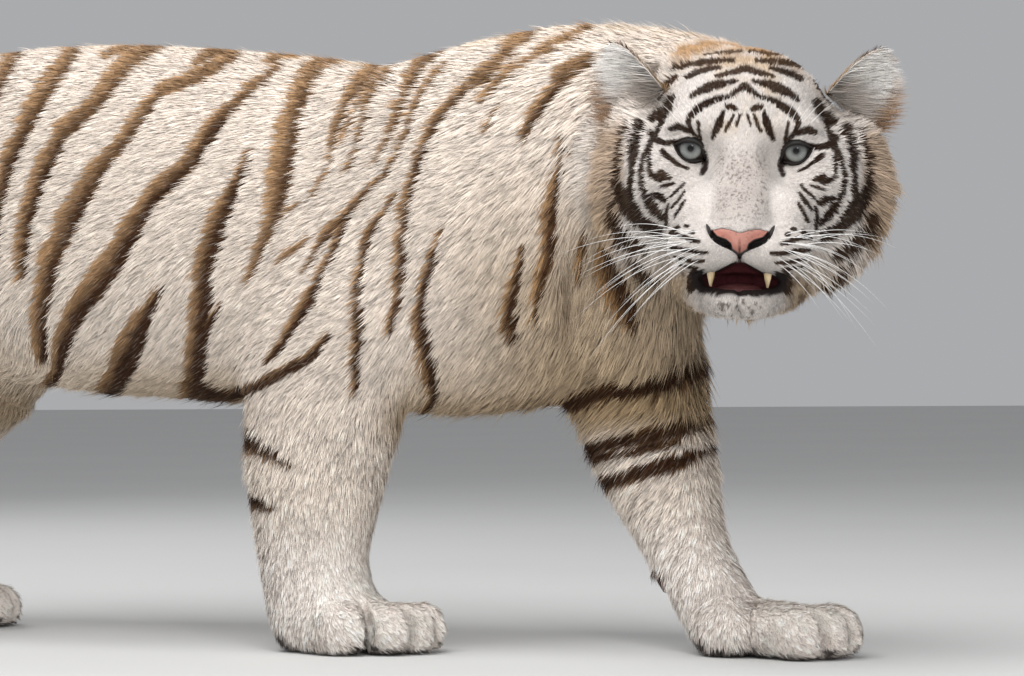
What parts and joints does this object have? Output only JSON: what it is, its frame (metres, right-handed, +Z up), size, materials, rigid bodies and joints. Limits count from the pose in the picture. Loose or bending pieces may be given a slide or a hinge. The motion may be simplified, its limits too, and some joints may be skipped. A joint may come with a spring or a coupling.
{
  "type": "white tiger model",
  "caption": "Still, life-size white tiger standing mid-walk, head turned over its right side, mouth slightly open, tail curving low behind it.",
  "frame": {"origin": "middle of the bounding box on the floor, under the four paws", "axes": "+X towards the front of the body, +Y to the animal's left, +Z up"},
  "size_m": [1.9458, 0.491, 0.7497],
  "materials": {
    "coat": "thick dense fur, white to cream with chocolate-brown stripes",
    "coat_legs": "shorter white fur with a few brown bars",
    "nose_leather": "moist pebbled skin",
    "eye": "wet gloss, pale blue-grey iris",
    "tongue": "moist, finely rough",
    "tooth": "enamel, slightly yellowed"
  },
  "bodies": {
    "root": {"canine_upper_left": "tooth", "canine_upper_right": "tooth", "ear_left": "coat", "ear_right": "coat", "eye_left": "eye", "eye_right": "eye", "foreleg_left": "coat_legs", "foreleg_right": "coat_legs", "forepaw_left": "coat_legs", "forepaw_right": "coat_legs", "head": "coat", "hindleg_left": "coat_legs", "hindleg_right": "coat_legs", "hindpaw_left": "coat_legs", "hindpaw_right": "coat_legs", "lower_jaw": "coat", "neck": "coat", "nose": "nose_leather", "tail_base": "coat", "tail_middle": "coat", "tail_tip": "coat", "tongue": "tongue", "trunk": "coat"}
  },
  "joints": []
}
